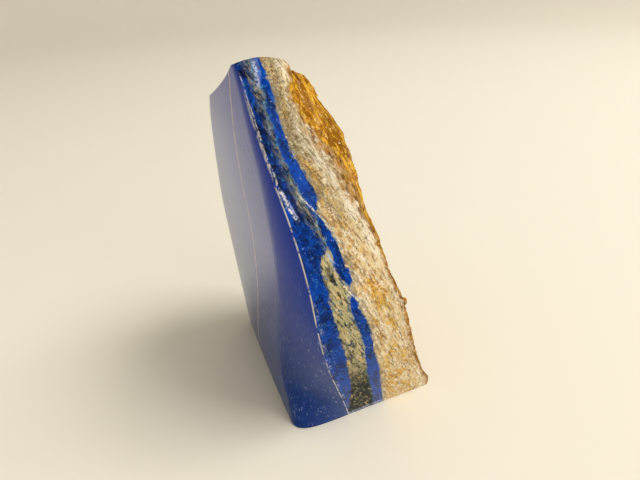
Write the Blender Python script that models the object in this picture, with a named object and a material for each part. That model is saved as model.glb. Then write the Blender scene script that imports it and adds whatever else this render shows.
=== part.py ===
"""Lapis lazuli freeform: a sawn and hand-polished stone that stands on a flat cut base.

The stone is one solid. It has a polished face in front (-Y), polished ends and top, a facet
ground off the lower near corner, and a broken, natural back (+Y), freshest at its upper near corner.
The form starts as a sawn block. Its rims are rounded, it is sliced at regular stations,
and then each point goes to its place between the front, the back, the two ends and the top.

Run: blender --background --python part.py
Units in the tables below are millimetres; the scene is in metres, with +Z up.
"""

import bisect
import math

import bmesh
import bpy
from mathutils import Vector, noise

MM = 0.001

# Driving dimensions of the whole stone
HEIGHT = 149.4                # base to the near end of the top
FAR_TOP_HEIGHT = 134.0        # base to the far end of the top
BLOCK = Vector((84.0, 60.0, 150.0))   # the sawn block before shaping: along X, Y and Z

# Outline of the polished face: height, then X of its far and near ends
FAR_END = [(0, 0.0), (70, -0.2), (86, 1.3), (105, 7.2), (120, 13.1), (128, 17.4), (134, 22.0)]
NEAR_END = [(0, 75.0), (20, 78.2), (40, 81.2), (60, 83.4), (80, 84.0), (95, 82.2), (110, 78.2),
            (123, 73.0), (135, 66.8), (144, 62.6), (149.5, 58.8)]
END_SPLAY = 0.134             # X gained by the near end for each millimetre towards the back
FAR_SPLAY = 5.0               # X lost by the far end from its face to its back

# Crease between the near end and the ground facet: height, then its depth behind the face
CREASE = [(0, 21.8), (16, 18.2), (32, 14.2), (53, 9.2), (76, 5.8), (94, 4.6), (111, 3.2),
          (124, 1.7), (149.5, 0.3)]
# Turn from the face into the facet: where its corner would lie back from the near end, how far
# along the face it starts before that corner, and how tight it is (0 is a chamfer, 1 is sharp)
CORNER_SET_BACK = [(0, 0.0), (10, 2.5), (30, 7.5), (53, 9.0), (76, 6.5), (94, 5.5), (111, 4.0),
                   (124, 2.5), (149.5, 0.5)]
CORNER_WIDTH = [(0, 7.0), (12, 9.0), (30, 14.0), (60, 13.0), (90, 9.0), (120, 5.0), (149.5, 2.0)]
CORNER_TIGHTNESS = [(0, 0.88), (12, 0.75), (30, 0.62), (149.5, 0.6)]
FACE_SWELL = 3.1              # how far the polished face swells at its foot
FOOT_SWELL_HEIGHT = 90.0      # height over which that swell dies out

# Broken back: height, then its depth at the near end, and how the rest of it swells
BACK = [(0, 63.6), (8, 62.4), (17, 57.6), (31, 51.5), (46, 45.8), (62, 40.8), (77, 35.9),
        (91, 31.0), (102, 28.4), (109, 25.8), (120, 23.4), (130, 20.8), (149.5, 16.5)]
BACK_SWELL = [(0, 4.0), (60, 6.0), (90, 6.0), (108, 7.5), (118, 9.5), (127, 10.4), (130, 9.4),
              (137, 5.6), (143, 3.2), (149.5, 2.0)]
FAR_BACK_FALL = 9.0           # how much thinner the stone is at its far end, near the base
FALL_FADE = 1.3               # that fall fades out by this share of the height

# Flat breaks across the back: a point and the way each one faces, then how soft its ridge is
BREAKS = [
    (Vector((69.3, 16.4, 133.5)), Vector((0.567, 0.569, 0.595)), 3.0),   # fresh, upper near corner
    (Vector((8.0, 37.0, 40.0)), Vector((-0.60, 0.79, 0.08)), 2.0),       # lower far corner
    (Vector((24.0, 25.0, 108.0)), Vector((-0.52, 0.80, 0.30)), 2.0),     # upper far corner
    (Vector((38.0, 50.0, 44.0)), Vector((-0.10, 0.97, 0.22)), 1.5),      # middle of the back
]
THINNEST = 13.8               # depth that the breaks leave behind the face

TOP_CROWN = 1.0               # how far the top's near end is domed from face to back
TOP_FALL = 6.5                # how far the top's far end falls from face to back
NEAR_TOP_FALL = 0.6           # how far its near end falls in the same way
NEAR_TOP_DROP = 0.5           # how far the top is rubbed down along its near edge

# Rims: radius of the polished top rim, of the worn base rim and of the top's broken rim
TOP_RIM = 1.8
BASE_RIM = 0.8
BACK_RIM = 1.6
KEPT_MARGIN = 7.0             # a rim this wide keeps its size when the block is tapered

# Roughness of the broken back
LUMP_SIZE, LUMP_HEIGHT = 30.0, 2.6
CHIP_SIZE, CHIP_TILT = 16.0, 12.0     # width of one flat chip, and how steeply chips are tilted
CHIP_SHARPNESS = 9.0          # how crisply the chips meet in ridges
LEDGE_SIZE, LEDGE_HEIGHT = 7.0, 1.0
PIT_SIZE, PIT_DEPTH = 4.5, 0.8
LEDGE_STEP = 1.9              # height of one step where the rock broke along its layers
STEP_SHARE = 0.6              # how much of the break follows such steps
DEPTH_SHARE = 0.35            # how much the lumps change along the depth
ROUGH_SINK = 0.6              # the break lies this much behind the smooth form on average
TOP_POLISH = 0.4              # share of the top's depth that is polished, from the face back
ROUGH_FROM = 0.45             # share of the depth where the ends begin to follow the break
NEAR_CALM = 0.3               # share of the lumps and chips that is left at the near end
BASE_CALM = 4.0               # the roughness grows to its full height over this much of the foot
TOP_ROUGHNESS = 0.7           # share of the back's roughness on the broken part of the top

# Stations where the block is sliced, as counts along X, Y and Z
SLICES = (24, 15, 44)
CROWDING = (1.35, 0.9, 1.1)   # above 1 the slices crowd towards the near end, the back, the top

COLOUR = (0.022, 0.075, 0.33, 1.0)
ROUGHNESS = 0.2


def along(table, height):
    """Read a table of (height, value) pairs with a smooth curve through them."""
    heights = [row[0] for row in table]
    height = min(max(height, heights[0]), heights[-1])
    i = min(max(bisect.bisect_right(heights, height) - 1, 0), len(table) - 2)
    (h0, v0), (h1, v1) = table[i], table[i + 1]
    before = table[i - 1] if i > 0 else (h0 - (h1 - h0), v0 - (v1 - v0))
    after = table[i + 2] if i + 2 < len(table) else (h1 + (h1 - h0), v1 + (v1 - v0))
    slope0 = (v1 - before[1]) / (h1 - before[0])
    slope1 = (after[1] - v0) / (after[0] - h0)
    t = (height - h0) / (h1 - h0)
    span = h1 - h0
    return ((2 * t**3 - 3 * t**2 + 1) * v0 + (t**3 - 2 * t**2 + t) * span * slope0
            + (-2 * t**3 + 3 * t**2) * v1 + (t**3 - t**2) * span * slope1)


def mix(a, b, t):
    return a + (b - a) * t


def clamp01(t):
    return min(max(t, 0.0), 1.0)


def smooth01(t):
    t = clamp01(t)
    return t * t * (3.0 - 2.0 * t)


def soft_min(a, b, blend):
    """The smaller of two values, with their meeting rounded over a distance."""
    share = clamp01(0.5 + 0.5 * (b - a) / blend)
    return mix(b, a, share) - blend * share * (1.0 - share)


def near_end(depth, height):
    """X of the polished near end, the one that shows the layers."""
    return along(NEAR_END, height) + END_SPLAY * depth


def face_depth(x, height):
    """Y of the polished face, which swells a little near its foot."""
    across = clamp01(x / 80.0)
    foot = clamp01(1.0 - height / FOOT_SWELL_HEIGHT)**1.5
    return -FACE_SWELL * (1.0 - (1.0 - across)**2) * foot


def front_point(u, height):
    """Point of the face's outline in plan: flat, then a turn through the facet to the crease."""
    far = along(FAR_END, height)
    crease_depth = along(CREASE, height)
    crease = Vector((near_end(crease_depth, height), crease_depth))
    corner_x = near_end(0.0, height) - along(CORNER_SET_BACK, height)
    start_x = corner_x - along(CORNER_WIDTH, height)
    tightness = along(CORNER_TIGHTNESS, height)
    turn = (corner_x - start_x + 0.6 * crease_depth) / (corner_x - far + 0.6 * crease_depth)
    if u <= 1.0 - turn:
        x = mix(far, start_x, u / (1.0 - turn))
        return Vector((x, face_depth(x, height)))
    start = Vector((start_x, face_depth(start_x, height)))
    corner = Vector((corner_x, face_depth(corner_x, height)))
    handle0 = start.lerp(corner, tightness)
    handle1 = crease.lerp(corner, tightness * 0.85)
    t = (u - 1.0 + turn) / turn
    return (start * (1 - t)**3 + handle0 * 3 * t * (1 - t)**2
            + handle1 * 3 * t**2 * (1 - t) + crease * t**3)


def break_depth(point, facing, x, height):
    """Y of a flat break at a place on the back."""
    return point.y - (facing.x * (x - point.x) + facing.z * (height - point.z)) / facing.y


def back_depth(u, x, height):
    """Y of the broken back before its lumps: a taper, a swell and the flat breaks."""
    swell = along(BACK_SWELL, height) * 4.0 * u * (1.0 - u)
    fall = FAR_BACK_FALL * (1.0 - u)**2 * clamp01(FALL_FADE - height / BLOCK.z)
    depth = along(BACK, height) + swell - fall
    for point, facing, softness in BREAKS:
        depth = soft_min(depth, break_depth(point, facing, x, height), softness)
    return -soft_min(-depth, -THINNEST, 1.0)


def top_height(u, v):
    """Height of the top: it rises to the near end and falls towards the back."""
    rise = mix(FAR_TOP_HEIGHT, HEIGHT, u)
    crown = TOP_CROWN * 4.0 * v * (1.0 - v) * u
    fall = v**1.5 * (NEAR_TOP_FALL + TOP_FALL * (1.0 - u)**2)
    return rise + crown - fall - NEAR_TOP_DROP * clamp01((u - 0.9) / 0.1)**2


def tilt_at(point):
    """A fixed, scattered direction for each place."""
    spread = point * 5.3
    return Vector(noise.noise(spread + Vector((7.7 * axis, 3.1, 0.0))) for axis in range(3))


def chipped(place):
    """Flat chips, each tilted its own way, that meet in ridges."""
    distances, points = noise.voronoi(place)
    height = weights = 0.0
    for distance, point in zip(distances, points):
        weight = math.exp(-CHIP_SHARPNESS * (distance - distances[0]))
        height += weight * tilt_at(point).dot(place - point)
        weights += weight
    return height / weights


def roughness_of_back(x, height, depth, wildness):
    """Height of the lumps, chips, ledges and pits of the break at a place, towards +Y."""
    place = Vector((x, depth * DEPTH_SHARE, height))
    lump = noise.noise(place / LUMP_SIZE) * LUMP_HEIGHT
    chip = chipped(place / CHIP_SIZE) * CHIP_TILT
    ledge = noise.noise(Vector((x / LEDGE_SIZE, 7.3, height / (LEDGE_SIZE * 2.2)))) * LEDGE_HEIGHT
    pit = -abs(noise.noise(place / PIT_SIZE + Vector((3.1, 0, 9.7)))) * PIT_DEPTH
    total = (lump + chip + ledge) * wildness
    stepped = round(total / LEDGE_STEP) * LEDGE_STEP
    return mix(total, stepped, STEP_SHARE) + pit - ROUGH_SINK * wildness


def refit(distance, block_length, real_length):
    """Share of the way across when a length of the block is fitted to a length of the stone.

    Both ends keep their size, so that a rim stays as round as it was cut.
    """
    kept = min(KEPT_MARGIN, 0.3 * real_length)
    if distance < kept:
        real = distance
    elif distance > block_length - kept:
        real = real_length - (block_length - distance)
    else:
        real = kept + (distance - kept) * (real_length - 2 * kept) / (block_length - 2 * kept)
    return clamp01(real / real_length)


def stone_point(block_point):
    """Take a point of the sawn block, in millimetres, to its place on the stone."""
    w = clamp01(block_point.z / BLOCK.z)
    rough_u = clamp01(block_point.x / BLOCK.x)
    v = clamp01(block_point.y / BLOCK.y)
    height = w * top_height(rough_u, v)
    width = near_end(0.0, height) - along(FAR_END, height)
    u = refit(block_point.x, BLOCK.x, width)
    height = w * top_height(u, v)
    front = front_point(u, height)
    far_x = along(FAR_END, height) + FAR_SPLAY
    back_y = back_depth(u, mix(far_x, near_end(along(BACK, height), height), u), height)
    back_x = mix(far_x, near_end(back_y, height), u)
    share = refit(block_point.y, BLOCK.y, back_y - front.y)
    height = w * top_height(u, share)
    point = front.lerp(Vector((back_x, back_y)), share)
    rough = smooth01((share - ROUGH_FROM) / (1.0 - ROUGH_FROM))
    wildness = mix(1.0, NEAR_CALM, smooth01((u - 0.5) / 0.35))
    lift = roughness_of_back(point.x, height, point.y, wildness) * rough
    lift *= clamp01(0.3 + height / BASE_CALM)
    broken_top = smooth01((share - TOP_POLISH) / 0.2) * clamp01((w - 0.96) / 0.04)
    broken_top *= smooth01((0.95 - u) / 0.25)
    height += roughness_of_back(point.x, point.y * 2.0, height, TOP_ROUGHNESS) * broken_top
    return Vector((point.x, point.y + lift, height))


def slice_block(bm):
    """Cut the block at stations along X, Y and Z."""
    for axis, count in enumerate(SLICES):
        normal = Vector((0, 0, 0))
        normal[axis] = 1.0
        for station in range(1, count):
            share = 1.0 - (1.0 - station / count)**CROWDING[axis]
            place = normal * (BLOCK[axis] * share)
            geometry = bm.verts[:] + bm.edges[:] + bm.faces[:]
            bmesh.ops.bisect_plane(bm, geom=geometry, dist=0.0001, plane_co=place, plane_no=normal)


def edges_where(bm, test):
    return [edge for edge in bm.edges if all(test(vert.co) for vert in edge.verts)]


def round_rims(bm):
    """Round the rims of the sawn block; the edge that becomes the crease stays sharp."""
    back = edges_where(bm, lambda p: p.z > BLOCK.z - 0.01 and p.y > BLOCK.y - 0.01)
    bmesh.ops.bevel(bm, geom=back, offset=BACK_RIM, affect="EDGES", segments=3,
                    profile=0.5, material=-1, clamp_overlap=True)
    top = edges_where(bm, lambda p: p.z > BLOCK.z - 0.01)
    top = [edge for edge in top if min(vert.co.y for vert in edge.verts) < 1.0]
    far = edges_where(bm, lambda p: p.x < 0.01 and p.y < 0.01)
    bmesh.ops.bevel(bm, geom=top + far, offset=TOP_RIM, affect="EDGES", segments=3,
                    profile=0.5, material=-1, clamp_overlap=True)
    base = edges_where(bm, lambda p: p.z < 0.01)
    bmesh.ops.bevel(bm, geom=base, offset=BASE_RIM, affect="EDGES", segments=1,
                    profile=0.5, material=-1, clamp_overlap=True)


def make_material():
    material = bpy.data.materials.new("polished lapis lazuli")
    material.use_nodes = True
    shader = material.node_tree.nodes["Principled BSDF"]
    shader.inputs["Base Color"].default_value = COLOUR
    shader.inputs["Roughness"].default_value = ROUGHNESS
    shader.inputs["Metallic"].default_value = 0.0
    material.diffuse_color = COLOUR
    return material


def make_stone():
    """Shape the sawn block into the stone, and stand it on the middle of its base."""
    bm = bmesh.new()
    bmesh.ops.create_cube(bm, size=1.0)
    bmesh.ops.scale(bm, vec=BLOCK, verts=bm.verts)
    bmesh.ops.translate(bm, vec=BLOCK / 2.0, verts=bm.verts)
    round_rims(bm)
    slice_block(bm)
    for vert in bm.verts:
        vert.co = stone_point(vert.co) * MM
    bmesh.ops.remove_doubles(bm, verts=bm.verts, dist=0.00002)
    bmesh.ops.recalc_face_normals(bm, faces=bm.faces)
    low = Vector(min(vert.co[axis] for vert in bm.verts) for axis in range(3))
    high = Vector(max(vert.co[axis] for vert in bm.verts) for axis in range(3))
    middle = (low + high) / 2.0
    bmesh.ops.translate(bm, vec=(-middle.x, -middle.y, -low.z), verts=bm.verts)
    mesh = bpy.data.meshes.new("lapis_stone")
    bm.to_mesh(mesh)
    bm.free()
    mesh.shade_smooth()
    mesh.set_sharp_from_angle(angle=0.6)
    mesh.materials.append(make_material())
    return bpy.data.objects.new("lapis_stone", mesh)


def main():
    for old in list(bpy.data.objects):
        bpy.data.objects.remove(old, do_unlink=True)
    collection = bpy.data.collections.new("lapis_lazuli_freeform")
    bpy.context.scene.collection.children.link(collection)
    collection.objects.link(make_stone())


main()
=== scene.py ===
"""Lapis lazuli freeform: the finished stone, with its layers, veins, polish and broken back.

The stone is shaped as its plain solid is, from a sawn block whose points go to their places
between a polished face, two ends, a top and a broken back. Here the block is sliced finer, and
the break gets its grain. One solid finish, read in millimetres from the stone's own
corner, lays the blue, the pale rock, the veins and the rust where the layers run.
"""

import bisect
import math

import bmesh
import bpy
from bpy.props import FloatProperty, FloatVectorProperty, IntProperty, PointerProperty
from bpy.types import Operator, Panel, PropertyGroup
from mathutils import Matrix, Vector, noise


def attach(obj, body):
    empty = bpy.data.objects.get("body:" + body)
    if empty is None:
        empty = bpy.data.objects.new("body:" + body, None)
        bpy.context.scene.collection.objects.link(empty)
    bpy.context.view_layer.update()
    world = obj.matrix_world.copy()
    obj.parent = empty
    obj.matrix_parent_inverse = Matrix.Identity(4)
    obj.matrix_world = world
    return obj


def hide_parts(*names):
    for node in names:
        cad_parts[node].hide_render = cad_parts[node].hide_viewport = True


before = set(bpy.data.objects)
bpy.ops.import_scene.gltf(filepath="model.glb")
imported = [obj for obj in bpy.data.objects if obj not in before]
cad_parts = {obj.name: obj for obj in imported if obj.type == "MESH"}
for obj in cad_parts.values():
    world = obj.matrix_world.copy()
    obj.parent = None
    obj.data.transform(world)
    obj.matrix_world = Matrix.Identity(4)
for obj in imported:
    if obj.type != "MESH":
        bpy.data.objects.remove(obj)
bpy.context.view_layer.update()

bl_info = {
    "name": "Lapis Lazuli Freeform",
    "version": (1, 0, 0),
    "blender": (4, 5, 0),
    "location": "3D View > Sidebar > Lapis",
    "description": "Builds a polished lapis lazuli freeform and the plain studio it stands in",
    "category": "Object",
}

MM = 0.001
NODE = "lapis_stone"

# Driving dimensions of the whole stone
HEIGHT = 149.4                # base to the near end of the top
FAR_TOP_HEIGHT = 134.0        # base to the far end of the top
BLOCK = Vector((84.0, 60.0, 150.0))   # the sawn block before shaping: along X, Y and Z

# Outline of the polished face: height, then X of its far and near ends
FAR_END = [(0, 0.0), (70, -0.2), (86, 1.3), (105, 7.2), (120, 13.1), (128, 17.4), (134, 22.0)]
NEAR_END = [(0, 75.0), (20, 78.2), (40, 81.2), (60, 83.4), (80, 84.0), (95, 82.2), (110, 78.2),
            (123, 73.0), (135, 66.8), (144, 62.6), (149.5, 58.8)]
END_SPLAY = 0.134             # X gained by the near end for each millimetre towards the back
FAR_SPLAY = 5.0               # X lost by the far end from its face to its back

# Crease between the near end and the ground facet: height, then its depth behind the face
CREASE = [(0, 21.8), (16, 18.2), (32, 14.2), (53, 9.2), (76, 5.8), (94, 4.6), (111, 3.2),
          (124, 1.7), (149.5, 0.3)]
# Turn from the face into the facet: where its corner would lie back from the near end, how far
# along the face it starts before that corner, and how tight it is (0 is a chamfer, 1 is sharp)
CORNER_SET_BACK = [(0, 0.0), (10, 2.5), (30, 7.5), (53, 9.0), (76, 6.5), (94, 5.5), (111, 4.0),
                   (124, 2.5), (149.5, 0.5)]
CORNER_WIDTH = [(0, 7.0), (12, 9.0), (30, 14.0), (60, 13.0), (90, 9.0), (120, 5.0), (149.5, 2.0)]
CORNER_TIGHTNESS = [(0, 0.88), (12, 0.75), (30, 0.62), (149.5, 0.6)]
FACE_SWELL = 3.1              # how far the polished face swells at its foot
FOOT_SWELL_HEIGHT = 90.0      # height over which that swell dies out

# Broken back: height, then its depth at the near end, and how the rest of it swells
BACK = [(0, 63.6), (8, 62.4), (17, 57.6), (31, 51.5), (46, 45.8), (62, 40.8), (77, 35.9),
        (91, 31.0), (102, 28.4), (109, 25.8), (120, 23.4), (130, 20.8), (149.5, 16.5)]
BACK_SWELL = [(0, 4.0), (60, 6.0), (90, 6.0), (108, 7.5), (118, 9.5), (127, 10.4), (130, 9.4),
              (137, 5.6), (143, 3.2), (149.5, 2.0)]
FAR_BACK_FALL = 9.0           # how much thinner the stone is at its far end, near the base
FALL_FADE = 1.3               # that fall fades out by this share of the height

# Flat breaks across the back: a point and the way each one faces, then how soft its ridge is
BREAKS = [
    (Vector((69.3, 16.4, 133.5)), Vector((0.567, 0.569, 0.595)), 3.0),   # fresh, upper near corner
    (Vector((8.0, 37.0, 40.0)), Vector((-0.60, 0.79, 0.08)), 2.0),       # lower far corner
    (Vector((24.0, 25.0, 108.0)), Vector((-0.52, 0.80, 0.30)), 2.0),     # upper far corner
    (Vector((38.0, 50.0, 44.0)), Vector((-0.10, 0.97, 0.22)), 1.5),      # middle of the back
]
THINNEST = 13.8               # depth that the breaks leave behind the face

TOP_CROWN = 1.0               # how far the top's near end is domed from face to back
TOP_FALL = 6.5                # how far the top's far end falls from face to back
NEAR_TOP_FALL = 0.6           # how far its near end falls in the same way
NEAR_TOP_DROP = 0.5           # how far the top is rubbed down along its near edge

# Rims: radius of the polished top rim, of the worn base rim and of the top's broken rim
TOP_RIM = 1.8
BASE_RIM = 0.8
BACK_RIM = 1.6
KEPT_MARGIN = 7.0             # a rim this wide keeps its size when the block is tapered

# Roughness of the broken back
LUMP_SIZE, LUMP_HEIGHT = 30.0, 2.6
CHIP_SIZE, CHIP_TILT = 16.0, 12.0     # width of one flat chip, and how steeply chips are tilted
CHIP_SHARPNESS = 9.0          # how crisply the chips meet in ridges
LEDGE_SIZE, LEDGE_HEIGHT = 7.0, 1.0
PIT_SIZE, PIT_DEPTH = 4.5, 0.8
LEDGE_STEP = 1.9              # height of one step where the rock broke along its layers
STEP_SHARE = 0.6              # how much of the break follows such steps
DEPTH_SHARE = 0.35            # how much the lumps change along the depth
ROUGH_SINK = 0.6              # the break lies this much behind the smooth form on average
TOP_POLISH = 0.4              # share of the top's depth that is polished, from the face back
ROUGH_FROM = 0.45             # share of the depth where the ends begin to follow the break
NEAR_CALM = 0.3               # share of the lumps and chips that is left at the near end
BASE_CALM = 4.0               # the roughness grows to its full height over this much of the foot
TOP_ROUGHNESS = 0.7           # share of the back's roughness on the broken part of the top

# Stations where the block is sliced, as counts along X, Y and Z
SLICES = (24, 15, 44)
CROWDING = (1.35, 0.9, 1.1)   # above 1 the slices crowd towards the near end, the back, the top

# Layers on the near end: height, then depth behind the face, in millimetres
TOP_OF_LAYERS = 160.0         # the layer curves are drawn from 0 to this height
DEEPEST_LAYER = 80.0          # and this is the deepest that they reach
BAND_MIDDLE = [(0, 37.0), (16, 33.6), (35, 29.6), (50, 26.0), (61, 23.9), (71, 21.7), (80, 18.6),
               (89, 17.3), (99, 14.6), (109, 12.0), (118, 9.9), (126, 7.6), (131, 6.4),
               (141, 6.0), (160, 6.0)]
BAND_HALF = [(0, 2.5), (16, 2.2), (35, 2.5), (50, 2.0), (61, 1.6), (71, 1.7), (80, 1.4),
             (86, 0.7), (89.3, 0.0), (92.5, 1.3), (99, 1.6), (105, 1.45), (110, 1.1),
             (114, 0.2), (117, 1.5), (126, 1.45), (138, 1.1), (160, 1.0)]
LENS_FRONT = [(0, 21.5), (28, 20.0), (44, 17.4), (56, 15.9), (66, 14.3), (75, 12.1), (83, 10.8),
              (90, 10.2), (95, 9.4), (100, 9.0), (104, 11.5), (109, 15.0), (160, 15.0)]
STREAK = [(0, 24.0), (80, 14.0), (97, 12.4), (107, 10.8), (112, 8.9), (117, 7.4), (122, 6.1),
          (127, 5.2), (132, 4.5), (142, 3.7), (160, 3.4)]
STAIN_FRONT = [(0, 41.0), (25, 36.1), (50, 29.9), (68, 25.5), (82, 21.2), (92, 19.5), (100, 17.5),
               (108, 15.3), (120, 11.3), (131, 8.9), (160, 7.0)]
STAIN_BACK = [(0, 57.0), (22, 51.2), (52, 41.9), (72, 33.0), (87, 28.2), (97, 23.5), (106, 20.7),
              (112, 18.0), (118, 16.0), (125, 12.8), (131, 10.5), (160, 8.0)]
CHALK = [(0, 58.0), (20, 54.3), (51, 43.2), (75, 35.2), (92, 29.2), (103, 24.3), (115, 18.5),
         (123, 14.8), (131, 11.8), (142, 11.5), (160, 11.5)]
RUST_REACH = [(0, 4.5), (14, 3.0), (25, 1.6), (45, 3.2), (75, 3.2), (95, 2.0), (108, 2.4),
              (118, 5.5), (130, 5.5), (138, 3.0), (160, 2.2)]
FACE_VEIN = [(0, 19.0), (32, 30.5), (72, 43.4), (100, 46.8), (113, 45.8), (130, 47.8),
             (138, 50.5), (147, 54.0), (160, 58.0)]

# Veins that cross the near end: depth and height of both ends, and the width of the vein
VEINS = [
    ((7.0, 119.6), (12.2, 111.4), 0.35), ((12.0, 111.9), (13.9, 108.0), 0.25),
    ((14.6, 91.2), (19.4, 83.9), 0.5), ((1.0, 134.5), (2.6, 121.5), 0.2),
    ((2.3, 122.5), (4.6, 113.5), 0.4), ((0.6, 147.0), (1.4, 133.0), 0.1),
]

# Paler bruises beside them, given in the same way
BRUISES = [
    ((2.6, 121.0), (5.2, 113.0), 1.1), ((4.6, 149.0), (4.2, 144.0), 0.9),
    ((11.0, 104.0), (13.0, 99.0), 0.6),
]

# Heights on the stone at which its look changes, in millimetres
DENSER_ABOVE = 106.0          # the blue of the near end is darker above this
STREAK_ABOVE = 96.0           # the blue-grey streak starts here
GREYER_ABOVE = 112.0          # the pale rock turns greyer above this
STAINED_ABOVE = 40.0          # its darkest specks are above this
CRUST_PALER_BELOW = 112.0     # the iron crust lets pale rock through below this
FOOT_BELOW = 41.0             # the lens is near-black below this
DASHES_BELOW = 84.0           # the face shows pale dashes below this
PAINTED_SHEEN_ABOVE = 66.0            # its blue is painted milkier above this: painted sheen for the pale reflection
WAXED_ABOVE = 64.0            # its wax is thick above this, and rubbed thin towards the foot
SHEEN_STRIP_FROM, SHEEN_STRIP_TO = 10.0, 96.0     # a painted sheen strip runs beside the crease between these
SAWN_STRIP = 3.2              # the saw bruised the blue at the base up to this height

# Widths of the layers that follow another layer, in millimetres
STREAK_FRONT, STREAK_BACK = 1.1, 1.6      # the streak, to either side of its middle
SAWN_FRONT, SAWN_BACK = 20.0, 39.0        # depths between which the saw's strip shows
CHALK_WIDTH = 4.5             # the chalky layer
FRINGE = 0.8                  # the paler fringe on both sides of the blue band
SHADE = 2.4                   # the grey shade behind that band
FACE_VEIN_HALF = 0.25         # half the thin vein on the face
SHEEN_STRIP_BACK = 1.3             # the painted sheen strip behind the crease
NEAR_CREASE = 64.0            # the crease is drawn from this X on
BEFORE, BEYOND = -50.0, 300.0     # outside the stone, for a mask that is open on one side

# Finish: roughness from 0 to 1, and shares of a full coat of wax
POLISHED, MARBLE_ADDS, RAW = 0.10, 0.38, 0.9
GLOSS_VARIES = 0.05           # how much the polish differs from place to place
SUGAR_SHARE = 0.35            # how much of the break's bump the half-matt marble shows
SUGAR_DEPTH = 0.0005          # metres
WAX, FACE_WAX = 0.12, 0.7     # wax everywhere on the blue, and more on the face

# Studio: metres from the middle of the stone's base
FLOOR_PROFILE = [(0.0, 0.0), (1.6, 0.0), (1.9, 0.03), (2.2, 0.12), (2.5, 0.30), (2.7, 0.55),
                 (2.8, 0.9), (2.82, 1.9)]     # distance from the middle, then height
FLOOR_STEPS = 96
FLOOR_GAP = 0.0002            # the floor lies this far under the base
LIT_PLACE = (0.0, 0.0, 0.07)
KEY_PLACE, KEY_SIZE, KEY_COLOUR = (0.85, 1.2, 2.1), 1.1, (1.0, 0.98, 0.93)
FILL_PLACE, FILL_SIZE, FILL_COLOUR = (2.2, 0.6, 1.1), 1.4, (1.0, 0.98, 0.95)
SKY_STRENGTH = 0.46
CAMERA_PLACE = Vector((0.1079, -0.0550, 0.1650))
CAMERA_AIM = Vector((-0.7257, 0.3525, -0.5908))
CAMERA_ROLL = -2.9            # degrees that the camera leans
SENSOR_WIDTH = 36.0           # millimetres


def linear(hex_colour):
    """Turn an sRGB hex colour into the linear values that shaders take."""
    channels = [int(hex_colour[i:i + 2], 16) / 255.0 for i in (1, 3, 5)]
    return tuple(c / 12.92 if c <= 0.04045 else ((c + 0.055) / 1.055)**2.4 for c in channels)


def colour_property(name, description, hex_colour):
    return FloatVectorProperty(name=name, description=description, subtype="COLOR", size=3,
                               min=0.0, max=1.0, default=linear(hex_colour))


class LapisShape(PropertyGroup):
    """Sizes of the stone's fine surface."""
    finer: IntProperty(
        name="Finer", description="Cuts made in each slice of the block", default=3, min=0, max=4)
    grain: FloatProperty(
        name="Grain", description="Height of the sugary grain on the broken back",
        default=0.45 * MM, min=0.0, max=2.0 * MM, unit="LENGTH")


class LapisColours(PropertyGroup):
    """Colours of the minerals in the stone."""
    lazurite: colour_property("Lazurite", "Clear deep blue of the bands", "#0246A8")
    navy: colour_property("Navy", "Darker blue where the bands are dense", "#04102E")
    deep: colour_property("Deep blue", "Even dark blue of the polished face", "#06367E")
    # Sheen violet is painted sheen: the milky reflection high on the polished face, laid as a colour
    violet: colour_property("Violet", "Milkier blue higher on the polished face", "#2E46AA")
    sky: colour_property("Sky", "Paler blue where the lazurite thins out", "#4488B4")
    # Lavender is also the colour of the painted sheen strip beside the crease
    lavender: colour_property("Lavender", "Lazurite ground to a pale bruise", "#AEB8DA")
    calcite: colour_property("Calcite", "White of the veins and chalky threads", "#F2EBDC")
    cream: colour_property("Cream", "Main colour of the pale rock", "#DBC59A")
    stone_grey: colour_property("Stone grey", "Greyer pale rock near the top", "#B1A588")
    ash: colour_property("Ash", "Grey threads of the pale rock", "#73664E")
    smoke: colour_property("Smoke", "Blue-grey rock in the streak between the bands", "#58646E")
    slate: colour_property("Slate", "Near-black grains in the greenish lens", "#1B2226")
    tan: colour_property("Tan", "Brown streaks of the pale rock", "#A87838")
    orange: colour_property("Orange", "Golden iron stains", "#D8AA3E")
    olive: colour_property("Olive", "Greenish rock in the lens between the bands", "#A8A17C")
    rust: colour_property("Rust", "Iron crust on the broken back", "#AA761F")
    clay: colour_property("Clay", "Duller, pinkish crust lower on the break", "#B59468")
    russet: colour_property("Russet", "Brown grains in the iron stains", "#8C5418")
    umber: colour_property("Umber", "Darkest iron crust", "#4A2C0E")


class LapisStudio(PropertyGroup):
    """The plain studio around the stone."""
    lens: FloatProperty(
        name="Lens", description="Focal length of the camera", default=20.3, unit="CAMERA")
    key_power: FloatProperty(
        name="Key power", description="Strength of the main soft light", default=38.0, min=0.0)
    fill_power: FloatProperty(
        name="Fill power", description="Strength of the soft light at the camera's side",
        default=9.0, min=0.0)
    floor: colour_property("Floor", "Pale floor", "#E8E3D7")
    sky: colour_property("Surroundings", "Pale light from all round", "#F2EDE3")


def along(table, height):
    """Read a table of (height, value) pairs with a smooth curve through them."""
    heights = [row[0] for row in table]
    height = min(max(height, heights[0]), heights[-1])
    i = min(max(bisect.bisect_right(heights, height) - 1, 0), len(table) - 2)
    (h0, v0), (h1, v1) = table[i], table[i + 1]
    before = table[i - 1] if i > 0 else (h0 - (h1 - h0), v0 - (v1 - v0))
    after = table[i + 2] if i + 2 < len(table) else (h1 + (h1 - h0), v1 + (v1 - v0))
    slope0 = (v1 - before[1]) / (h1 - before[0])
    slope1 = (after[1] - v0) / (after[0] - h0)
    t = (height - h0) / (h1 - h0)
    span = h1 - h0
    return ((2 * t**3 - 3 * t**2 + 1) * v0 + (t**3 - 2 * t**2 + t) * span * slope0
            + (-2 * t**3 + 3 * t**2) * v1 + (t**3 - t**2) * span * slope1)


def mix(a, b, t):
    return a + (b - a) * t


def clamp01(t):
    return min(max(t, 0.0), 1.0)


def smooth01(t):
    t = clamp01(t)
    return t * t * (3.0 - 2.0 * t)


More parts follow.
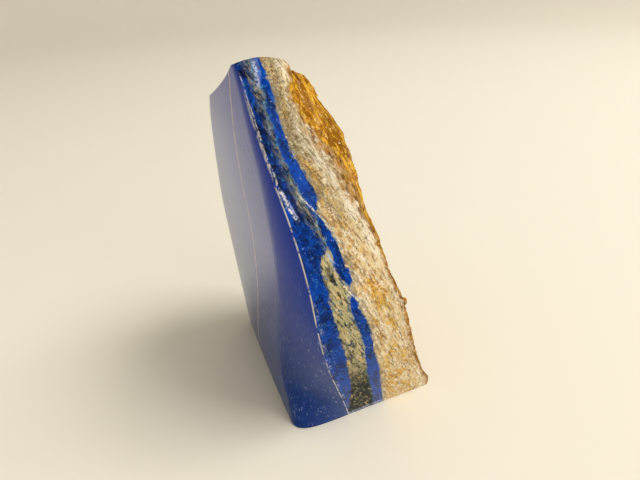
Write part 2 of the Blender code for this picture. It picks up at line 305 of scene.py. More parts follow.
def soft_min(a, b, blend):
    """The smaller of two values, with their meeting rounded over a distance."""
    share = clamp01(0.5 + 0.5 * (b - a) / blend)
    return mix(b, a, share) - blend * share * (1.0 - share)


def near_end(depth, height):
    """X of the polished near end, the one that shows the layers."""
    return along(NEAR_END, height) + END_SPLAY * depth


def face_depth(x, height):
    """Y of the polished face, which swells a little near its foot."""
    across = clamp01(x / 80.0)
    foot = clamp01(1.0 - height / FOOT_SWELL_HEIGHT)**1.5
    return -FACE_SWELL * (1.0 - (1.0 - across)**2) * foot


def front_point(u, height):
    """Point of the face's outline in plan: flat, then a turn through the facet to the crease."""
    far = along(FAR_END, height)
    crease_depth = along(CREASE, height)
    crease = Vector((near_end(crease_depth, height), crease_depth))
    corner_x = near_end(0.0, height) - along(CORNER_SET_BACK, height)
    start_x = corner_x - along(CORNER_WIDTH, height)
    tightness = along(CORNER_TIGHTNESS, height)
    turn = (corner_x - start_x + 0.6 * crease_depth) / (corner_x - far + 0.6 * crease_depth)
    if u <= 1.0 - turn:
        x = mix(far, start_x, u / (1.0 - turn))
        return Vector((x, face_depth(x, height)))
    start = Vector((start_x, face_depth(start_x, height)))
    corner = Vector((corner_x, face_depth(corner_x, height)))
    handle0 = start.lerp(corner, tightness)
    handle1 = crease.lerp(corner, tightness * 0.85)
    t = (u - 1.0 + turn) / turn
    return (start * (1 - t)**3 + handle0 * 3 * t * (1 - t)**2
            + handle1 * 3 * t**2 * (1 - t) + crease * t**3)


def break_depth(point, facing, x, height):
    """Y of a flat break at a place on the back."""
    return point.y - (facing.x * (x - point.x) + facing.z * (height - point.z)) / facing.y


def back_depth(u, x, height):
    """Y of the broken back before its lumps: a taper, a swell and the flat breaks."""
    swell = along(BACK_SWELL, height) * 4.0 * u * (1.0 - u)
    fall = FAR_BACK_FALL * (1.0 - u)**2 * clamp01(FALL_FADE - height / BLOCK.z)
    depth = along(BACK, height) + swell - fall
    for point, facing, softness in BREAKS:
        depth = soft_min(depth, break_depth(point, facing, x, height), softness)
    return -soft_min(-depth, -THINNEST, 1.0)


def top_height(u, v):
    """Height of the top: it rises to the near end and falls towards the back."""
    rise = mix(FAR_TOP_HEIGHT, HEIGHT, u)
    crown = TOP_CROWN * 4.0 * v * (1.0 - v) * u
    fall = v**1.5 * (NEAR_TOP_FALL + TOP_FALL * (1.0 - u)**2)
    return rise + crown - fall - NEAR_TOP_DROP * clamp01((u - 0.9) / 0.1)**2


def tilt_at(point):
    """A fixed, scattered direction for each place."""
    spread = point * 5.3
    return Vector(noise.noise(spread + Vector((7.7 * axis, 3.1, 0.0))) for axis in range(3))


def chipped(place):
    """Flat chips, each tilted its own way, that meet in ridges."""
    distances, points = noise.voronoi(place)
    height = weights = 0.0
    for distance, point in zip(distances, points):
        weight = math.exp(-CHIP_SHARPNESS * (distance - distances[0]))
        height += weight * tilt_at(point).dot(place - point)
        weights += weight
    return height / weights


def roughness_of_back(x, height, depth, wildness):
    """Height of the lumps, chips, ledges and pits of the break at a place, towards +Y."""
    place = Vector((x, depth * DEPTH_SHARE, height))
    lump = noise.noise(place / LUMP_SIZE) * LUMP_HEIGHT
    chip = chipped(place / CHIP_SIZE) * CHIP_TILT
    ledge = noise.noise(Vector((x / LEDGE_SIZE, 7.3, height / (LEDGE_SIZE * 2.2)))) * LEDGE_HEIGHT
    pit = -abs(noise.noise(place / PIT_SIZE + Vector((3.1, 0, 9.7)))) * PIT_DEPTH
    total = (lump + chip + ledge) * wildness
    stepped = round(total / LEDGE_STEP) * LEDGE_STEP
    return mix(total, stepped, STEP_SHARE) + pit - ROUGH_SINK * wildness


def refit(distance, block_length, real_length):
    """Share of the way across when a length of the block is fitted to a length of the stone.

    Both ends keep their size, so that a rim stays as round as it was cut.
    """
    kept = min(KEPT_MARGIN, 0.3 * real_length)
    if distance < kept:
        real = distance
    elif distance > block_length - kept:
        real = real_length - (block_length - distance)
    else:
        real = kept + (distance - kept) * (real_length - 2 * kept) / (block_length - 2 * kept)
    return clamp01(real / real_length)


def grain_at(point):
    """The sugary grain of the break at a place, at three sizes, from about -1 to 1."""
    coarse = noise.noise(point / 4.0) + 0.9 * chipped(point / 3.2)
    fine = noise.noise(point / 1.3 + Vector((5.0, 1.0, 2.0)))
    return 0.7 * coarse + 0.6 * fine


def stone_point(block_point, grain):
    """Place of a point of the sawn block on the stone.

    With it go how broken the stone is there, how hollow, and how far the break lies behind it.
    """
    w = clamp01(block_point.z / BLOCK.z)
    rough_u = clamp01(block_point.x / BLOCK.x)
    v = clamp01(block_point.y / BLOCK.y)
    height = w * top_height(rough_u, v)
    width = near_end(0.0, height) - along(FAR_END, height)
    u = refit(block_point.x, BLOCK.x, width)
    height = w * top_height(u, v)
    front = front_point(u, height)
    far_x = along(FAR_END, height) + FAR_SPLAY
    back_y = back_depth(u, mix(far_x, near_end(along(BACK, height), height), u), height)
    back_x = mix(far_x, near_end(back_y, height), u)
    share = refit(block_point.y, BLOCK.y, back_y - front.y)
    height = w * top_height(u, share)
    point = front.lerp(Vector((back_x, back_y)), share)
    rough = smooth01((share - ROUGH_FROM) / (1.0 - ROUGH_FROM))
    lift = 0.0
    if rough > 0.0:
        wildness = mix(1.0, NEAR_CALM, smooth01((u - 0.5) / 0.35))
        lift = roughness_of_back(point.x, height, point.y, wildness) * rough
        lift *= clamp01(0.3 + height / BASE_CALM)
    broken_top = smooth01((share - TOP_POLISH) / 0.2) * clamp01((w - 0.96) / 0.04)
    broken_top *= smooth01((0.95 - u) / 0.25)
    if broken_top > 0.0:
        height += roughness_of_back(point.x, point.y * 2.0, height, TOP_ROUGHNESS) * broken_top
    broken = max(smooth01((share - 0.985) / 0.015), broken_top)
    place = Vector((point.x, point.y + lift, height))
    hollow = 0.0
    if broken > 0.0 and w > 0.0:
        grains = grain_at(place)
        place.y += grains * grain * broken
        hollow = clamp01(-0.15 - grains)
    return place, (broken, hollow, (1.0 - share) * (back_y - front.y))


def slice_block(bm):
    """Cut the block at stations along X, Y and Z."""
    for axis, count in enumerate(SLICES):
        normal = Vector((0, 0, 0))
        normal[axis] = 1.0
        for station in range(1, count):
            share = 1.0 - (1.0 - station / count)**CROWDING[axis]
            place = normal * (BLOCK[axis] * share)
            geometry = bm.verts[:] + bm.edges[:] + bm.faces[:]
            bmesh.ops.bisect_plane(bm, geom=geometry, dist=0.0001, plane_co=place, plane_no=normal)


def edges_where(bm, test):
    return [edge for edge in bm.edges if all(test(vert.co) for vert in edge.verts)]


def round_rims(bm):
    """Round the rims of the sawn block; the edge that becomes the crease stays sharp."""
    back = edges_where(bm, lambda p: p.z > BLOCK.z - 0.01 and p.y > BLOCK.y - 0.01)
    bmesh.ops.bevel(bm, geom=back, offset=BACK_RIM, affect="EDGES", segments=3,
                    profile=0.5, material=-1, clamp_overlap=True)
    top = edges_where(bm, lambda p: p.z > BLOCK.z - 0.01)
    top = [edge for edge in top if min(vert.co.y for vert in edge.verts) < 1.0]
    far = edges_where(bm, lambda p: p.x < 0.01 and p.y < 0.01)
    bmesh.ops.bevel(bm, geom=top + far, offset=TOP_RIM, affect="EDGES", segments=3,
                    profile=0.5, material=-1, clamp_overlap=True)
    base = edges_where(bm, lambda p: p.z < 0.01)
    bmesh.ops.bevel(bm, geom=base, offset=BASE_RIM, affect="EDGES", segments=1,
                    profile=0.5, material=-1, clamp_overlap=True)


def add(tree, kind, inputs, output=0, **settings):
    """Add one node with its settings; an input takes a value or the output it is linked to."""
    node = tree.nodes.new(kind)
    for name, value in settings.items():
        setattr(node, name, value)
    for key, value in inputs.items():
        if isinstance(value, bpy.types.NodeSocket):
            tree.links.new(value, node.inputs[key])
        else:
            node.inputs[key].default_value = value
    return node.outputs[output]


def wander(tree, place, through, size, reach, seed):
    """Move a place about by a reach, both in millimetres, so that layers run unevenly."""
    drift = add(tree, "ShaderNodeTexNoise", {
        "Vector": through, "W": seed, "Scale": 1.0 / size, "Detail": 4.0, "Roughness": 0.6},
        "Color", noise_dimensions="4D")
    return add(tree, "ShaderNodeVectorMath", {
        0: drift, 1: (2 * reach, 2 * reach, 2 * reach), 2: add(
            tree, "ShaderNodeVectorMath", {0: place, 1: (reach, reach, reach)},
            operation="SUBTRACT")}, operation="MULTIPLY_ADD")


class Layers:
    """Places in the stone in millimetres: as they are, and bent with the layers of the rock."""

    def __init__(self, tree, middle):
        self.tree = tree
        local = add(tree, "ShaderNodeTexCoord", {}, "Object")
        self.place = add(tree, "ShaderNodeMapping", {
            "Vector": local, "Location": tuple(middle), "Scale": (1000.0, 1000.0, 1000.0)})
        self.across = add(tree, "ShaderNodeSeparateXYZ", {0: self.place}, 0)
        self.plain_depth = add(tree, "ShaderNodeSeparateXYZ", {0: self.place}, 1)
        self.height = add(tree, "ShaderNodeSeparateXYZ", {0: self.place}, 2)
        bent = wander(tree, self.place, self.place, 14.0, 1.3, 2.0)
        # The grain is drawn out along the layers, which lean back towards the foot
        self.grain = add(tree, "ShaderNodeMapping", {
            "Vector": bent, "Rotation": (math.radians(18.0), 0.0, 0.0),
            "Scale": (2.0, 1.0, 2.4)}, vector_type="TEXTURE")
        self.fibre = add(tree, "ShaderNodeMapping", {
            "Vector": bent, "Rotation": (math.radians(24.0), 0.0, 0.0),
            "Scale": (3.0, 1.0, 7.0)}, vector_type="TEXTURE")
        # The edges of the layers are ragged too, in tongues that follow the grain
        self.ragged = wander(tree, bent, self.grain, 1.0, 1.3, 5.0)
        self.depth = add(tree, "ShaderNodeSeparateXYZ", {0: self.ragged}, 1)
        # Veins wander by less than a millimetre, and break up here and there
        self.vein_place = wander(tree, self.place, self.place, 2.0, 0.8, 7.0)
        self.uneven = self.patches(self.place, 0.7, 0.42, 0.54, 8.0, 0.85)

    def follow(self, table):
        """Read a table of (height, depth) pairs at each place's own height."""
        tree = self.tree
        share = add(tree, "ShaderNodeMath", {0: self.height, 1: TOP_OF_LAYERS}, operation="DIVIDE")
        reading = add(tree, "ShaderNodeFloatCurve", {1: share})
        curve = reading.node.mapping.curves[0]
        for point, row in zip(curve.points, (table[0], table[-1])):
            point.location = (row[0] / TOP_OF_LAYERS, row[1] / DEEPEST_LAYER)
        for row in table[1:-1]:
            curve.points.new(row[0] / TOP_OF_LAYERS, row[1] / DEEPEST_LAYER)
        reading.node.mapping.update()
        return add(tree, "ShaderNodeMath", {0: reading, 1: DEEPEST_LAYER}, operation="MULTIPLY")

    def between(self, value, front, back, softness, strength=1.0):
        """A mask that is full where a value lies between two others, with soft edges."""
        tree = self.tree
        after = add(tree, "ShaderNodeMath", {0: value, 1: front}, operation="SUBTRACT")
        before = add(tree, "ShaderNodeMath", {0: back, 1: value}, operation="SUBTRACT")
        inside = add(tree, "ShaderNodeMath", {0: after, 1: before}, operation="MINIMUM")
        return add(tree, "ShaderNodeMapRange", {
            0: inside, 1: -softness, 2: softness, 4: strength}, interpolation_type="SMOOTHSTEP")

    def patches(self, place, size, least, most, seed, strength=1.0):
        """A mask of scattered patches about a size in millimetres.

        The finest real specks are only a few tenths of a millimetre wide. They are drawn about
        twice as coarse, because finer ones even out and don't show in a picture.
        """
        cloud = add(self.tree, "ShaderNodeTexNoise", {
            "Vector": place, "W": seed, "Scale": 1.0 / size, "Detail": 5.0, "Roughness": 0.68},
            noise_dimensions="4D")
        return add(self.tree, "ShaderNodeMapRange", {
            0: cloud, 1: least, 2: most, 4: strength}, interpolation_type="SMOOTHSTEP")

    def lay(self, rock, mineral, *masks):
        """Lay a mineral over the rock where all the masks let it show."""
        tree = self.tree
        mask = masks[0]
        for other in masks[1:]:
            mask = add(tree, "ShaderNodeMath", {0: mask, 1: other}, operation="MULTIPLY")
        return add(tree, "ShaderNodeMix", {0: mask, 6: rock, 7: mineral}, 2, data_type="RGBA")

    def vein(self, rock, mineral, start, end, width):
        """Lay a thin, uneven vein over the rock between two places on the near end."""
        tree = self.tree
        rise = end[1] - start[1]
        length = math.hypot(end[0] - start[0], rise)
        along_vein = add(tree, "ShaderNodeMapping", {
            "Vector": self.vein_place, "Location": (0.0, start[0], start[1]),
            "Rotation": (math.atan2(rise, end[0] - start[0]), 0.0, 0.0)}, vector_type="TEXTURE")
        ahead = add(tree, "ShaderNodeSeparateXYZ", {0: along_vein}, 1)
        aside = add(tree, "ShaderNodeSeparateXYZ", {0: along_vein}, 2)
        return self.lay(rock, mineral, self.between(ahead, 0.0, length, 0.8),
                        self.between(aside, -0.5 * width, 0.5 * width, 0.3), self.uneven)


def blue_rock(layers, colours, seed):
    """Lazurite: deep blue with darker clouds, paler thin places and fine white flecks."""
    patches, grain, place = layers.patches, layers.grain, layers.place
    rock = layers.lay(colours["lazurite"], colours["navy"],
                      patches(grain, 2.4, 0.43, 0.60, seed, 0.7))
    rock = layers.lay(rock, colours["navy"], patches(place, 0.9, 0.50, 0.58, seed + 1, 0.75),
                      patches(place, 6.0, 0.44, 0.58, seed + 2))
    rock = layers.lay(rock, colours["sky"], patches(place, 0.8, 0.52, 0.62, seed + 3, 0.6),
                      patches(grain, 3.0, 0.44, 0.58, seed + 4))
    return layers.lay(rock, colours["lavender"], patches(place, 0.7, 0.58, 0.64, seed + 5, 0.65),
                      patches(grain, 2.0, 0.50, 0.60, seed + 6))


def pale_rock(layers, colours):
    """Marble behind the blue: cream, with chalk, grey and brown grains and iron stains."""
    patches, grain, fibre, place = layers.patches, layers.grain, layers.fibre, layers.place
    rock = layers.lay(colours["cream"], colours["calcite"],
                      patches(fibre, 1.1, 0.44, 0.60, 21.0, 0.7))
    upper = layers.between(layers.height, GREYER_ABOVE, BEYOND, 16.0)
    rock = layers.lay(rock, colours["stone_grey"], upper,
                      patches(fibre, 2.4, 0.30, 0.52, 22.0, 0.9))
    stained = layers.between(layers.depth, layers.follow(STAIN_FRONT),
                             layers.follow(STAIN_BACK), 2.0)
    rock = layers.lay(rock, colours["orange"], stained, patches(grain, 2.8, 0.47, 0.59, 24.0, 0.8))
    chalk = layers.follow(CHALK)
    behind = add(layers.tree, "ShaderNodeMath", {0: chalk, 1: CHALK_WIDTH}, operation="ADD")
    rock = layers.lay(rock, colours["calcite"], layers.between(layers.depth, chalk, behind, 2.0),
                      patches(fibre, 1.4, 0.42, 0.56, 27.0, 0.7))
    rock = layers.lay(rock, colours["tan"], patches(grain, 1.0, 0.50, 0.60, 23.0, 0.75),
                      patches(fibre, 3.5, 0.42, 0.56, 25.0))
    rock = layers.lay(rock, colours["ash"], patches(fibre, 0.6, 0.53, 0.60, 26.0, 0.7))
    rock = layers.lay(rock, colours["calcite"], patches(fibre, 0.5, 0.57, 0.63, 28.0, 0.8))
    rock = layers.lay(rock, colours["umber"], patches(place, 0.6, 0.55, 0.60, 29.0, 0.7),
                      patches(grain, 3.0, 0.44, 0.58, 30.0),
                      layers.between(layers.height, STAINED_ABOVE, BEYOND, 30.0))
    rock = layers.lay(rock, colours["russet"], patches(place, 0.8, 0.52, 0.58, 20.0, 0.8), stained,
                      patches(grain, 3.5, 0.46, 0.56, 38.0))
    return layers.lay(rock, colours["ash"], upper, patches(place, 0.6, 0.50, 0.57, 39.0, 0.8),
                      layers.between(layers.depth, 0.0, chalk, 2.0))


def speckled_rock(layers, colours, light, dark, paleness, seed):
    """Grey or olive rock, grained dark and light along the layers."""
    patches, grain, fibre, place = layers.patches, layers.grain, layers.fibre, layers.place
    rock = layers.lay(light, colours["cream"], patches(fibre, 1.2, 0.48, 0.58, seed, paleness))
    rock = layers.lay(rock, colours["orange"],
                      patches(grain, 1.6, 0.55, 0.62, seed + 5, 0.8 * paleness))
    rock = layers.lay(rock, dark, patches(grain, 2.2, 0.50, 0.60, seed + 1, 0.75))
    rock = layers.lay(rock, dark, patches(fibre, 0.7, 0.52, 0.58, seed + 2, 0.85))
    rock = layers.lay(rock, colours["calcite"], patches(place, 0.7, 0.57, 0.62, seed + 3, paleness))
    return layers.lay(rock, colours["sky"], patches(place, 0.9, 0.58, 0.64, seed + 4, 0.7))


def broken_rock(layers, colours, hollow):
    """The weathered break: an iron crust over pale rock, darkest in the hollows."""
    patches, grain, fibre, place = layers.patches, layers.grain, layers.fibre, layers.place
    low = layers.between(layers.height, BEFORE, CRUST_PALER_BELOW, 8.0)
    crust = layers.lay(colours["rust"], colours["clay"],
                       patches(place, 12.0, 0.46, 0.60, 31.0, 0.9))
    crust = layers.lay(crust, colours["cream"], patches(place, 10.0, 0.55, 0.66, 37.0, 0.7), low)
    crust = layers.lay(crust, colours["umber"], patches(place, 16.0, 0.50, 0.66, 68.0, 0.45))
    crust = layers.lay(crust, colours["umber"], patches(fibre, 1.6, 0.50, 0.64, 33.0, 0.6))
    crust = layers.lay(crust, colours["orange"], patches(grain, 1.6, 0.48, 0.58, 32.0, 0.9))
    crust = layers.lay(crust, colours["cream"], patches(place, 1.3, 0.56, 0.64, 34.0, 0.75))
    crust = layers.lay(crust, colours["ash"], patches(place, 9.0, 0.54, 0.66, 35.0, 0.6), low)
    crust = layers.lay(crust, colours["umber"], patches(place, 0.9, 0.54, 0.62, 36.0, 0.7))
    return layers.lay(crust, colours["umber"], hollow)


def near_end_rock(layers, colours):
    """All the layers as they cross the stone, from the blue face to the pale rock behind."""
    tree = layers.tree
    middle = layers.follow(BAND_MIDDLE)
    half = layers.follow(BAND_HALF)
    front = add(tree, "ShaderNodeMath", {0: middle, 1: half}, operation="SUBTRACT")
    back = add(tree, "ShaderNodeMath", {0: middle, 1: half}, operation="ADD")
    rock = blue_rock(layers, colours, 11.0)
    upper = layers.between(layers.height, DENSER_ABOVE, BEYOND, 14.0)
    rock = layers.lay(rock, colours["navy"], upper,
                      layers.patches(layers.grain, 1.0, 0.44, 0.56, 18.0, 0.85))
    streak = layers.follow(STREAK)
    before = add(tree, "ShaderNodeMath", {0: streak, 1: STREAK_FRONT}, operation="SUBTRACT")
    after = add(tree, "ShaderNodeMath", {0: streak, 1: STREAK_BACK}, operation="ADD")
    grey = speckled_rock(layers, colours, colours["smoke"], colours["navy"], 0.3, 41.0)
    rock = layers.lay(rock, grey, layers.between(layers.depth, before, after, 0.9),
                      layers.between(layers.height, STREAK_ABOVE, BEYOND, 8.0),
                      layers.patches(layers.grain, 1.2, 0.34, 0.50, 40.0))
    olive = speckled_rock(layers, colours, colours["olive"], colours["slate"], 0.62, 91.0)
    olive = layers.lay(olive, colours["slate"],
                       layers.between(layers.height, BEFORE, FOOT_BELOW, 14.0),
                       layers.patches(layers.grain, 1.2, 0.34, 0.50, 49.0, 0.95))
    lens = layers.between(layers.depth, layers.follow(LENS_FRONT), middle, 0.5)
    rock = layers.lay(rock, olive, lens)
    beyond = layers.between(layers.depth, middle, BEYOND, 0.5)
    rock = layers.lay(rock, pale_rock(layers, colours), beyond)
    wider_front = add(tree, "ShaderNodeMath", {0: front, 1: FRINGE}, operation="SUBTRACT")
    wider_back = add(tree, "ShaderNodeMath", {0: back, 1: FRINGE}, operation="ADD")
    rock = layers.lay(rock, colours["sky"],
                      layers.between(layers.depth, wider_front, wider_back, 0.5),
                      layers.patches(layers.place, 0.8, 0.50, 0.58, 19.0, 0.75))
    shadow_back = add(tree, "ShaderNodeMath", {0: back, 1: SHADE}, operation="ADD")
    rock = layers.lay(rock, colours["ash"], layers.between(layers.depth, middle, shadow_back, 1.2),
                      layers.patches(layers.grain, 1.6, 0.44, 0.58, 48.0, 0.6))
    band = layers.between(layers.depth, front, back, 0.3)
    rock = layers.lay(rock, blue_rock(layers, colours, 71.0), band)
    other = add(tree, "ShaderNodeMath", {0: 1.0, 1: band}, operation="SUBTRACT")
    softer = add(tree, "ShaderNodeMath", {0: lens, 1: beyond}, operation="MAXIMUM")
    softer = add(tree, "ShaderNodeMath", {0: softer, 1: other}, operation="MULTIPLY")
    for start, end, width in BRUISES:
        rock = layers.vein(rock, colours["lavender"], start, end, width)
    for start, end, width in VEINS:
        rock = layers.vein(rock, colours["calcite"], start, end, width)
    sawn = layers.between(layers.height, BEFORE, SAWN_STRIP, 0.8)
    rock = layers.lay(rock, colours["lavender"], sawn,
                      layers.between(layers.depth, SAWN_FRONT, SAWN_BACK, 1.0),
                      layers.patches(layers.place, 0.9, 0.42, 0.54, 53.0, 0.85))
    return rock, softer


def face_marks(layers, rock, colours):
    """What shows on the polished face: pale dashes, a thin vein, a chipped white line along the
    crease that is partly a painted highlight, and painted sheen.
    """
    tree, place = layers.tree, layers.place
    crease = layers.follow(CREASE)
    face = layers.between(layers.plain_depth, BEFORE, crease, 0.3)
    rock = layers.lay(rock, colours["deep"], face,
                      layers.patches(place, 18.0, 0.10, 0.40, 50.0, 0.85))
    # Painted sheen: a milkier violet over the upper face, where it mirrors the pale surroundings
    rock = layers.lay(rock, colours["violet"], face,
                      layers.between(layers.height, PAINTED_SHEEN_ABOVE, BEYOND, 44.0, 0.9))
    dashes = add(tree, "ShaderNodeMapping", {
        "Vector": place, "Rotation": (0.0, math.radians(-8.0), 0.0),
        "Scale": (1.6, 3.0, 9.0)}, vector_type="TEXTURE")
    rock = layers.lay(rock, colours["lavender"], face,
                      layers.between(layers.height, BEFORE, DASHES_BELOW, 30.0),
                      layers.patches(dashes, 0.35, 0.58, 0.64, 51.0, 0.5))
    middle = layers.follow(FACE_VEIN)
    wavy = add(tree, "ShaderNodeSeparateXYZ", {0: layers.vein_place}, 0)
    offset = add(tree, "ShaderNodeMath", {0: wavy, 1: middle}, operation="SUBTRACT")
    rock = layers.lay(rock, colours["cream"], face,
                      layers.between(offset, -FACE_VEIN_HALF, FACE_VEIN_HALF, 0.2, 0.9))
    # A chipped white calcite line along the crease; higher up it also stands in for the bright
    # highlight on the edge, so it is partly a painted highlight
    behind = add(tree, "ShaderNodeMath", {0: layers.plain_depth, 1: crease}, operation="SUBTRACT")
    near = layers.between(layers.across, NEAR_CREASE, BEYOND, 3.0)
    rock = layers.lay(rock, colours["calcite"], near, layers.between(behind, -0.2, 0.1, 0.15),
                      layers.patches(place, 3.0, 0.42, 0.54, 52.0, 0.8))
    # Painted sheen: a pale lavender strip just behind the crease stands in for light caught on a
    # narrow chamfer there
    return layers.lay(rock, colours["lavender"], near, layers.between(behind, 0.1, SHEEN_STRIP_BACK, 0.7),
                      layers.between(layers.height, SHEEN_STRIP_FROM, SHEEN_STRIP_TO, 10.0),
                      layers.patches(place, 5.0, 0.46, 0.60, 54.0),
                      layers.patches(place, 0.8, 0.46, 0.58, 55.0, 0.85))


def stone_finish(colours, middle):
    """Cut and polished lapis lazuli: glossy blue, duller pale rock and a raw rusty back.

    Lazurite takes a waxy polish with an index of refraction of 1.5. The marble beside it is
    softer and granular, so it stays half matt, and the break was never polished at all. The blue
    is rubbed with wax, which veils the face in pale grey where light grazes it. The stone's own
    gleam is turned down for it.
    """
    material = bpy.data.materials.new("polished lapis lazuli")
    material.use_nodes = True
    tree = material.node_tree
    shader = tree.nodes["Principled BSDF"]
    layers = Layers(tree, middle)
    rock, softer = near_end_rock(layers, colours)
    rock = face_marks(layers, rock, colours)

    broken = add(tree, "ShaderNodeAttribute", {}, "Fac", attribute_name="broken")
    hollow = add(tree, "ShaderNodeAttribute", {}, "Fac", attribute_name="hollow")
    to_break = add(tree, "ShaderNodeAttribute", {}, "Fac", attribute_name="to_break")
    near_break = add(tree, "ShaderNodeMapRange", {
        0: to_break, 1: layers.follow(RUST_REACH), 2: 0.2}, interpolation_type="SMOOTHSTEP")
    rock = layers.lay(rock, colours["rust"], near_break,
                      layers.patches(layers.grain, 0.9, 0.40, 0.54, 61.0, 0.9))
    rock = layers.lay(rock, colours["umber"], near_break,
                      layers.patches(layers.grain, 1.1, 0.50, 0.58, 63.0, 0.85))
    rock = layers.lay(rock, broken_rock(layers, colours, hollow), broken)

    gloss = layers.patches(layers.place, 9.0, 0.3, 0.7, 62.0, GLOSS_VARIES)
    roughness = add(tree, "ShaderNodeMath", {0: softer, 1: MARBLE_ADDS, 2: POLISHED},
                    operation="MULTIPLY_ADD")
    roughness = add(tree, "ShaderNodeMath", {0: roughness, 1: gloss}, operation="ADD")
    raw = add(tree, "ShaderNodeMath", {0: broken, 1: RAW}, operation="MULTIPLY")
    roughness = add(tree, "ShaderNodeMath", {0: roughness, 1: raw}, operation="MAXIMUM")
    sugar = add(tree, "ShaderNodeTexNoise", {
        "Vector": layers.grain, "Scale": 1.6, "Detail": 6.0, "Roughness": 0.75})
    where = add(tree, "ShaderNodeMath", {0: softer, 1: SUGAR_SHARE}, operation="MULTIPLY")
    where = add(tree, "ShaderNodeMath", {0: where, 1: broken}, operation="MAXIMUM")
    height = add(tree, "ShaderNodeMath", {0: sugar, 1: where}, operation="MULTIPLY")
    bump = add(tree, "ShaderNodeBump", {
        "Strength": 0.6, "Distance": SUGAR_DEPTH, "Height": height})

    bare = add(tree, "ShaderNodeMath", {0: softer, 1: broken}, operation="MAXIMUM")
    polished = add(tree, "ShaderNodeMath", {0: 1.0, 1: bare}, operation="SUBTRACT")
    face = layers.between(layers.plain_depth, BEFORE, layers.follow(CREASE), 2.0, FACE_WAX)
    upper = layers.between(layers.height, WAXED_ABOVE, BEYOND, 54.0)
    wax = add(tree, "ShaderNodeMath", {0: face, 1: upper, 2: WAX}, operation="MULTIPLY_ADD")
    wax = add(tree, "ShaderNodeMath", {0: polished, 1: wax}, operation="MULTIPLY")

    tree.links.new(rock, shader.inputs["Base Color"])
    tree.links.new(roughness, shader.inputs["Roughness"])
    tree.links.new(bump, shader.inputs["Normal"])
    tree.links.new(wax, shader.inputs["Coat Weight"])
    shader.inputs["IOR"].default_value = 1.5
    shader.inputs["Specular IOR Level"].default_value = 0.1
    # Wax has an index of about 1.4. It is set lower, to match how faint the haze on the face is
    shader.inputs["Coat IOR"].default_value = 1.25
    shader.inputs["Coat Roughness"].default_value = 0.06
    return material


def colour_values(settings):
    return {name: (*getattr(settings, name), 1.0) for name in settings.__annotations__}


class LAPIS_OT_stone(Operator):
    """Shape, grain and finish the lapis lazuli stone"""
    bl_idname = "lapis.stone"
    bl_label = "Lapis Stone"

    def execute(self, context):
        shape = context.scene.lapis_shape
        bm = bmesh.new()
        bmesh.ops.create_cube(bm, size=1.0)
        bmesh.ops.scale(bm, vec=BLOCK, verts=bm.verts)
        bmesh.ops.translate(bm, vec=BLOCK / 2.0, verts=bm.verts)
        round_rims(bm)
        slice_block(bm)
        if shape.finer:
            bmesh.ops.subdivide_edges(bm, edges=bm.edges[:], cuts=shape.finer, use_grid_fill=True)
        marks = [bm.verts.layers.float.new(name) for name in ("broken", "hollow", "to_break")]
        for vert in bm.verts:
            place, values = stone_point(vert.co, shape.grain / MM)
            vert.co = place * MM
            for mark, value in zip(marks, values):
                vert[mark] = value
        bmesh.ops.remove_doubles(bm, verts=bm.verts, dist=0.00002)
        bmesh.ops.recalc_face_normals(bm, faces=bm.faces)
        low = Vector(min(vert.co[axis] for vert in bm.verts) for axis in range(3))
        high = Vector(max(vert.co[axis] for vert in bm.verts) for axis in range(3))
        middle = Vector(((low.x + high.x) / 2.0, (low.y + high.y) / 2.0, low.z))
        bmesh.ops.translate(bm, vec=-middle, verts=bm.verts)
        mesh = bpy.data.meshes.new("lapis_stone_polished")
        bm.to_mesh(mesh)
        bm.free()
        mesh.shade_smooth()
        mesh.set_sharp_from_angle(angle=math.radians(34.0))
        mesh.materials.append(stone_finish(colour_values(context.scene.lapis_colours), middle / MM))
        stone = bpy.data.objects.new("lapis_stone_polished", mesh)
        context.scene.collection.objects.link(stone)
        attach(stone, "root")
        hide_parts(NODE)
        return {"FINISHED"}


def floor_finish(colour):
    """Matt painted board: pale, with no gloss to catch the lights."""
    material = bpy.data.materials.new("pale matt board")
    material.use_nodes = True
    shader = material.node_tree.nodes["Principled BSDF"]
    shader.inputs["Base Color"].default_value = (*colour, 1.0)
    shader.inputs["Roughness"].default_value = 0.9
    return material


def add_light(scene, name, place, size, power, colour):
    """A square soft light at a place, turned to the stone."""
    data = bpy.data.lights.new(name, "AREA")
    data.size = size
    data.energy = power
    data.color = colour
    light = bpy.data.objects.new(name, data)
    light.location = place
    aim = Vector(LIT_PLACE) - Vector(place)
    light.rotation_euler = aim.to_track_quat("-Z", "Y").to_euler()
    scene.collection.objects.link(light)


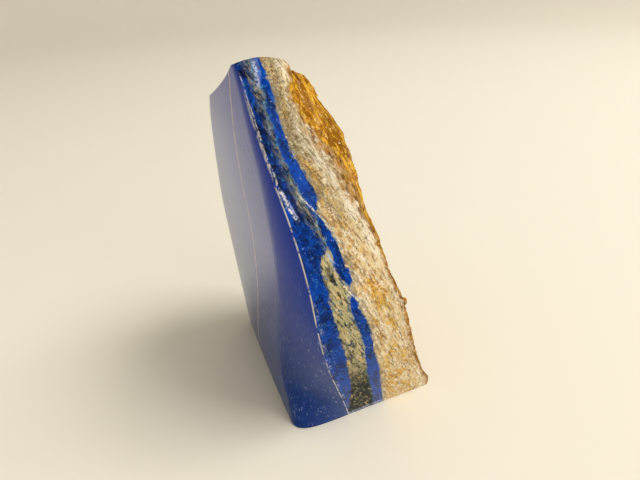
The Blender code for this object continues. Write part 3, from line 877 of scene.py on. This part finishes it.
class LAPIS_OT_studio(Operator):
    """Set the floor, the soft lights and the camera round the stone"""
    bl_idname = "lapis.studio"
    bl_label = "Lapis Studio"

    def execute(self, context):
        scene = context.scene
        studio = scene.lapis_studio
        self.make_floor(scene, studio)
        self.make_lights(scene, studio)
        self.make_camera(scene, studio)
        scene.view_settings.view_transform = "Standard"
        scene.view_settings.look = "Medium High Contrast"
        return {"FINISHED"}

    def make_floor(self, scene, studio):
        """A wide floor that curves up far behind the stone."""
        bm = bmesh.new()
        profile = [bm.verts.new((reach, 0.0, height)) for reach, height in FLOOR_PROFILE]
        edges = [bm.edges.new(pair) for pair in zip(profile, profile[1:])]
        bmesh.ops.spin(bm, geom=profile + edges, cent=(0, 0, 0), axis=(0, 0, 1),
                       angle=math.tau, steps=FLOOR_STEPS, use_merge=True, use_duplicate=False)
        bmesh.ops.recalc_face_normals(bm, faces=bm.faces)
        mesh = bpy.data.meshes.new("floor")
        bm.to_mesh(mesh)
        bm.free()
        mesh.shade_smooth()
        mesh.materials.append(floor_finish(studio.floor))
        floor = bpy.data.objects.new("floor", mesh)
        floor.location = (0.0, 0.0, -FLOOR_GAP)
        scene.collection.objects.link(floor)

    def make_lights(self, scene, studio):
        """Two soft lights and pale light from all round."""
        add_light(scene, "key", KEY_PLACE, KEY_SIZE, studio.key_power, KEY_COLOUR)
        add_light(scene, "fill", FILL_PLACE, FILL_SIZE, studio.fill_power, FILL_COLOUR)
        world = bpy.data.worlds.new("pale surroundings")
        world.use_nodes = True
        background = world.node_tree.nodes["Background"]
        background.inputs[0].default_value = (*studio.sky, 1.0)
        background.inputs[1].default_value = SKY_STRENGTH
        scene.world = world

    def make_camera(self, scene, studio):
        """A camera close to the stone, looking down on its near end."""
        data = bpy.data.cameras.new("camera")
        data.lens = studio.lens
        data.sensor_width = SENSOR_WIDTH
        data.clip_start = 0.01
        camera = bpy.data.objects.new("camera", data)
        roll = Matrix.Rotation(math.radians(CAMERA_ROLL), 3, "Z")
        turn = CAMERA_AIM.to_track_quat("-Z", "Y").to_matrix() @ roll
        camera.matrix_world = Matrix.Translation(CAMERA_PLACE) @ turn.to_4x4()
        scene.collection.objects.link(camera)
        scene.camera = camera


class LAPIS_PT_panel(Panel):
    """Buttons and settings for the stone and its studio"""
    bl_label = "Lapis Freeform"
    bl_idname = "LAPIS_PT_panel"
    bl_space_type = "VIEW_3D"
    bl_region_type = "UI"
    bl_category = "Lapis"

    def draw(self, context):
        layout = self.layout
        scene = context.scene
        for settings in (scene.lapis_shape, scene.lapis_colours, scene.lapis_studio):
            box = layout.box()
            for name in settings.__annotations__:
                box.prop(settings, name)
        layout.operator("lapis.stone")
        layout.operator("lapis.studio")


CLASSES = (LapisShape, LapisColours, LapisStudio, LAPIS_OT_stone, LAPIS_OT_studio, LAPIS_PT_panel)


def register():
    for cls in CLASSES:
        bpy.utils.register_class(cls)
    bpy.types.Scene.lapis_shape = PointerProperty(type=LapisShape)
    bpy.types.Scene.lapis_colours = PointerProperty(type=LapisColours)
    bpy.types.Scene.lapis_studio = PointerProperty(type=LapisStudio)


def unregister():
    del bpy.types.Scene.lapis_shape
    del bpy.types.Scene.lapis_colours
    del bpy.types.Scene.lapis_studio
    for cls in reversed(CLASSES):
        bpy.utils.unregister_class(cls)


def main():
    register()
    bpy.ops.lapis.studio()
    bpy.ops.lapis.stone()


if __name__ == "__main__":
    main()
